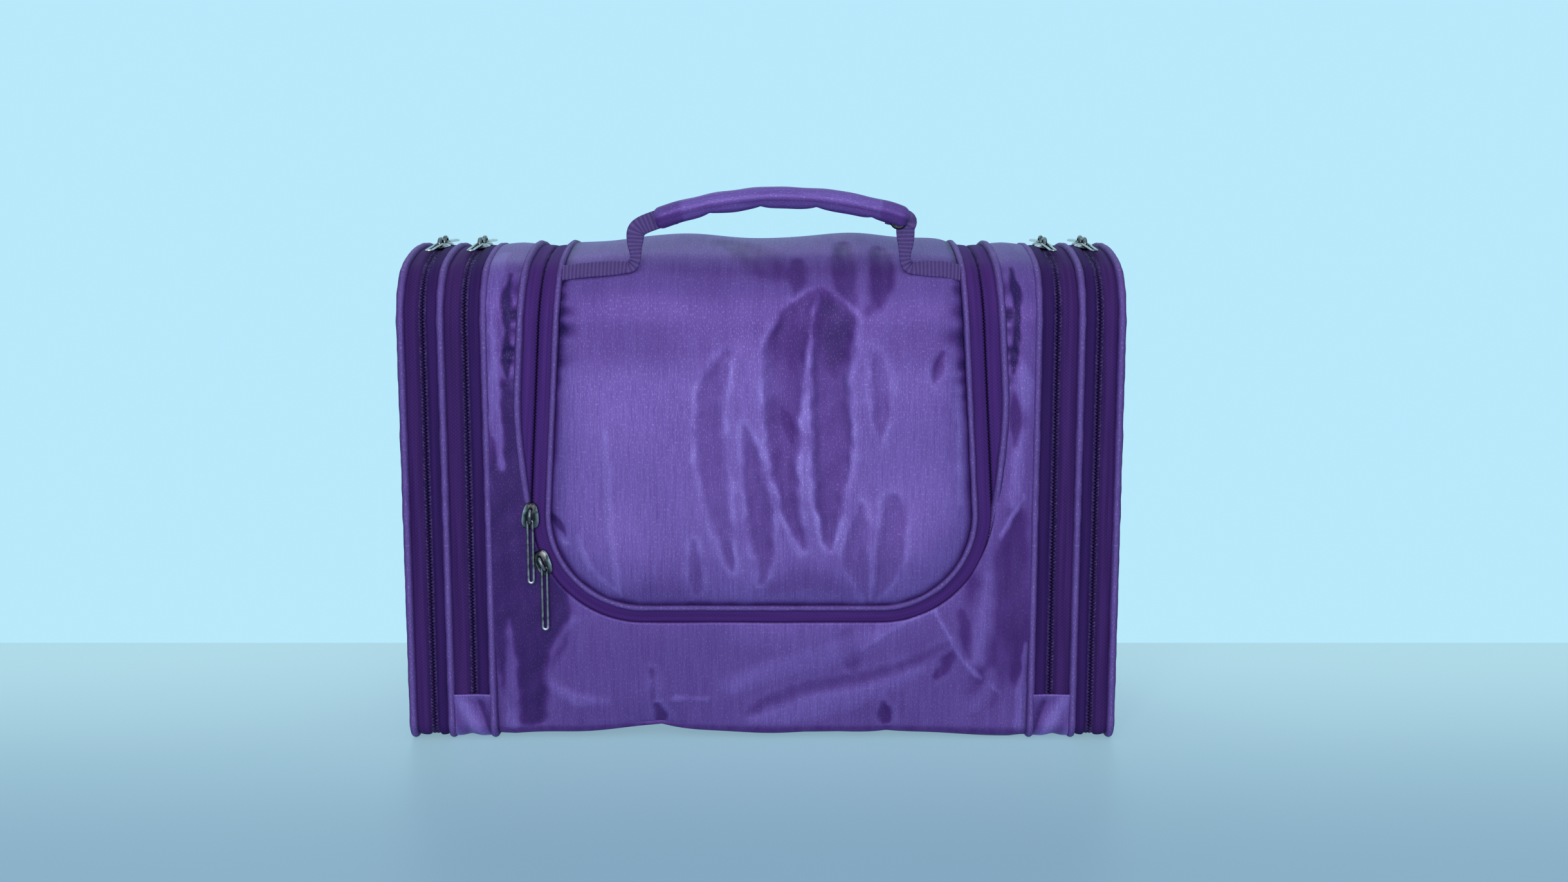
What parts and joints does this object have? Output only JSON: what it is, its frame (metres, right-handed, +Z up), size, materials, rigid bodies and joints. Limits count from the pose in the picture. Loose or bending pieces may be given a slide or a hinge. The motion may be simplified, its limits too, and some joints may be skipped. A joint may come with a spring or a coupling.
{
  "type": "hanging toiletry bag",
  "caption": "Padded satin toiletry bag with a zipped front flap, zipped side wings with outer covers, piped edges, a carrying handle and a fold-out hanging hook.",
  "frame": {"origin": "on the table under the middle of the base", "axes": "+X to the bag's right as seen from the front, +Y to the back, +Z up"},
  "size_m": [0.3204, 0.1297, 0.2486],
  "materials": {
    "satin": "glossy satin, finely ribbed",
    "lining": "matt woven lining over a stiffener",
    "piping": "satin-covered cord",
    "zip_tape": "woven tape with a nylon coil",
    "webbing": "ribbed webbing",
    "board": "plain board",
    "dark_nickel": "dark nickel plate"
  },
  "bodies": {
    "main_body": {"base_panel": "satin", "base_board": "board", "front_panel": "satin", "back_panel": "satin", "left_partition": "lining", "right_partition": "lining", "left_body_piping": "piping", "right_body_piping": "piping", "opening_piping": "piping", "opening_stringer": "zip_tape", "left_body_stringer": "zip_tape", "right_body_stringer": "zip_tape", "left_gusset": "satin", "right_gusset": "satin", "hook_tab": "webbing"},
    "hook": {"hanging_hook": "dark_nickel"},
    "flap": {"flap_panel": "satin", "flap_piping": "piping", "flap_stringer": "zip_tape", "left_handle_end": "webbing", "right_handle_end": "webbing"},
    "handle": {"handle_webbing": "webbing", "handle_grip": "satin", "press_stud": "dark_nickel"},
    "left_wing": {"left_wing_panel": "lining", "left_wing_piping": "piping", "left_wing_stringers": "zip_tape", "left_wing_gusset": "satin"},
    "left_cover": {"left_cover_panel": "satin", "left_cover_piping": "piping", "left_cover_stringer": "zip_tape"},
    "right_wing": {"right_wing_panel": "lining", "right_wing_piping": "piping", "right_wing_stringers": "zip_tape", "right_wing_gusset": "satin"},
    "right_cover": {"right_cover_panel": "satin", "right_cover_piping": "piping", "right_cover_stringer": "zip_tape"},
    "upper_zip_slider": {"upper_slider": "dark_nickel"},
    "upper_zip_pull": {"upper_pull": "dark_nickel"},
    "lower_zip_slider": {"lower_slider": "dark_nickel"},
    "lower_zip_pull": {"lower_pull": "dark_nickel"},
    "left_inner_front_zip_slider": {"left_inner_front_slider": "dark_nickel"},
    "left_inner_front_zip_pull": {"left_inner_front_pull": "dark_nickel"},
    "left_inner_rear_zip_slider": {"left_inner_rear_slider": "dark_nickel"},
    "left_inner_rear_zip_pull": {"left_inner_rear_pull": "dark_nickel"},
    "left_outer_front_zip_slider": {"left_outer_front_slider": "dark_nickel"},
    "left_outer_front_zip_pull": {"left_outer_front_pull": "dark_nickel"},
    "left_outer_rear_zip_slider": {"left_outer_rear_slider": "dark_nickel"},
    "left_outer_rear_zip_pull": {"left_outer_rear_pull": "dark_nickel"},
    "right_inner_front_zip_slider": {"right_inner_front_slider": "dark_nickel"},
    "right_inner_front_zip_pull": {"right_inner_front_pull": "dark_nickel"},
    "right_inner_rear_zip_slider": {"right_inner_rear_slider": "dark_nickel"},
    "right_inner_rear_zip_pull": {"right_inner_rear_pull": "dark_nickel"},
    "right_outer_front_zip_slider": {"right_outer_front_slider": "dark_nickel"},
    "right_outer_front_zip_pull": {"right_outer_front_pull": "dark_nickel"},
    "right_outer_rear_zip_slider": {"right_outer_rear_slider": "dark_nickel"},
    "right_outer_rear_zip_pull": {"right_outer_rear_pull": "dark_nickel"}
  },
  "joints": [
    {"name": "flap_hinge", "type": "hinge", "parent": "main_body", "child": "flap", "pos_m": [0, 0.036, 0.22098], "axis": [-1, 0, 0], "range_deg": [0, 110]},
    {"name": "handle_fold", "type": "hinge", "parent": "flap", "child": "handle", "pos_m": [0, -0.05193, 0.21541], "axis": [1, 0, 0], "range_deg": [-40, 110]},
    {"name": "hook_fold", "type": "hinge", "parent": "main_body", "child": "hook", "pos_m": [0, 0.0628, 0.186], "axis": [1, 0, 0], "range_deg": [0, 180]},
    {"name": "left_wing_fold", "type": "hinge", "parent": "main_body", "child": "left_wing", "pos_m": [-0.141, 0, 0.0018], "axis": [0, -1, 0], "range_deg": [0, 50]},
    {"name": "left_cover_fold", "type": "hinge", "parent": "left_wing", "child": "left_cover", "pos_m": [-0.1585, 0, 0.0018], "axis": [0, -1, 0], "range_deg": [0, 35]},
    {"name": "right_wing_fold", "type": "hinge", "parent": "main_body", "child": "right_wing", "pos_m": [0.141, 0, 0.0018], "axis": [0, 1, 0], "range_deg": [0, 50]},
    {"name": "right_cover_fold", "type": "hinge", "parent": "right_wing", "child": "right_cover", "pos_m": [0.1585, 0, 0.0018], "axis": [0, 1, 0], "range_deg": [0, 35]},
    {"name": "upper_slider_travel", "type": "slide", "parent": "main_body", "child": "upper_zip_slider", "axis": [0.0597, 0, 0.9982], "range_m": [0, 0.07]},
    {"name": "upper_pull_swing", "type": "hinge", "parent": "upper_zip_slider", "child": "upper_zip_pull", "pos_m": [-0.10312, -0.0614, 0.10305], "axis": [-1, 0, 0], "range_deg": [0, 150]},
    {"name": "lower_slider_travel", "type": "hinge", "parent": "main_body", "child": "lower_zip_slider", "pos_m": [-0.05291, -0.06, 0.105], "axis": [0, -1, 0], "range_deg": [0, 55]},
    {"name": "lower_pull_swing", "type": "hinge", "parent": "lower_zip_slider", "child": "lower_zip_pull", "pos_m": [-0.09716, -0.0614, 0.08164], "axis": [-1, 0, 0], "range_deg": [0, 120]},
    {"name": "left_inner_front_slider_travel", "type": "hinge", "parent": "main_body", "child": "left_inner_front_zip_slider", "pos_m": [-0.1305, 0, 0.062], "axis": [1, 0, 0], "range_deg": [0, 9]},
    {"name": "left_inner_front_pull_swing", "type": "hinge", "parent": "left_inner_front_zip_slider", "child": "left_inner_front_zip_pull", "pos_m": [-0.1305, -0.00847, 0.22239], "axis": [-1, 0, 0], "range_deg": [0, 100]},
    {"name": "left_inner_rear_slider_travel", "type": "hinge", "parent": "main_body", "child": "left_inner_rear_zip_slider", "pos_m": [-0.1305, 0, 0.062], "axis": [-1, 0, 0], "range_deg": [0, 9]},
    {"name": "left_inner_rear_pull_swing", "type": "hinge", "parent": "left_inner_rear_zip_slider", "child": "left_inner_rear_zip_pull", "pos_m": [-0.1305, 0.00847, 0.22239], "axis": [1, 0, 0], "range_deg": [0, 100]},
    {"name": "left_outer_front_slider_travel", "type": "hinge", "parent": "left_wing", "child": "left_outer_front_zip_slider", "pos_m": [-0.149, 0, 0.062], "axis": [1, 0, 0], "range_deg": [0, 9]},
    {"name": "left_outer_front_pull_swing", "type": "hinge", "parent": "left_outer_front_zip_slider", "child": "left_outer_front_zip_pull", "pos_m": [-0.149, -0.00847, 0.22239], "axis": [-1, 0, 0], "range_deg": [0, 100]},
    {"name": "left_outer_rear_slider_travel", "type": "hinge", "parent": "left_wing", "child": "left_outer_rear_zip_slider", "pos_m": [-0.149, 0, 0.062], "axis": [-1, 0, 0], "range_deg": [0, 9]},
    {"name": "left_outer_rear_pull_swing", "type": "hinge", "parent": "left_outer_rear_zip_slider", "child": "left_outer_rear_zip_pull", "pos_m": [-0.149, 0.00847, 0.22239], "axis": [1, 0, 0], "range_deg": [0, 100]},
    {"name": "right_inner_front_slider_travel", "type": "hinge", "parent": "main_body", "child": "right_inner_front_zip_slider", "pos_m": [0.1305, 0, 0.062], "axis": [1, 0, 0], "range_deg": [0, 9]},
    {"name": "right_inner_front_pull_swing", "type": "hinge", "parent": "right_inner_front_zip_slider", "child": "right_inner_front_zip_pull", "pos_m": [0.1305, -0.00847, 0.22239], "axis": [-1, 0, 0], "range_deg": [0, 100]},
    {"name": "right_inner_rear_slider_travel", "type": "hinge", "parent": "main_body", "child": "right_inner_rear_zip_slider", "pos_m": [0.1305, 0, 0.062], "axis": [-1, 0, 0], "range_deg": [0, 9]},
    {"name": "right_inner_rear_pull_swing", "type": "hinge", "parent": "right_inner_rear_zip_slider", "child": "right_inner_rear_zip_pull", "pos_m": [0.1305, 0.00847, 0.22239], "axis": [1, 0, 0], "range_deg": [0, 100]},
    {"name": "right_outer_front_slider_travel", "type": "hinge", "parent": "right_wing", "child": "right_outer_front_zip_slider", "pos_m": [0.149, 0, 0.062], "axis": [1, 0, 0], "range_deg": [0, 9]},
    {"name": "right_outer_front_pull_swing", "type": "hinge", "parent": "right_outer_front_zip_slider", "child": "right_outer_front_zip_pull", "pos_m": [0.149, -0.00847, 0.22239], "axis": [-1, 0, 0], "range_deg": [0, 100]},
    {"name": "right_outer_rear_slider_travel", "type": "hinge", "parent": "right_wing", "child": "right_outer_rear_zip_slider", "pos_m": [0.149, 0, 0.062], "axis": [-1, 0, 0], "range_deg": [0, 9]},
    {"name": "right_outer_rear_pull_swing", "type": "hinge", "parent": "right_outer_rear_zip_slider", "child": "right_outer_rear_zip_pull", "pos_m": [0.149, 0.00847, 0.22239], "axis": [1, 0, 0], "range_deg": [0, 100]}
  ]
}
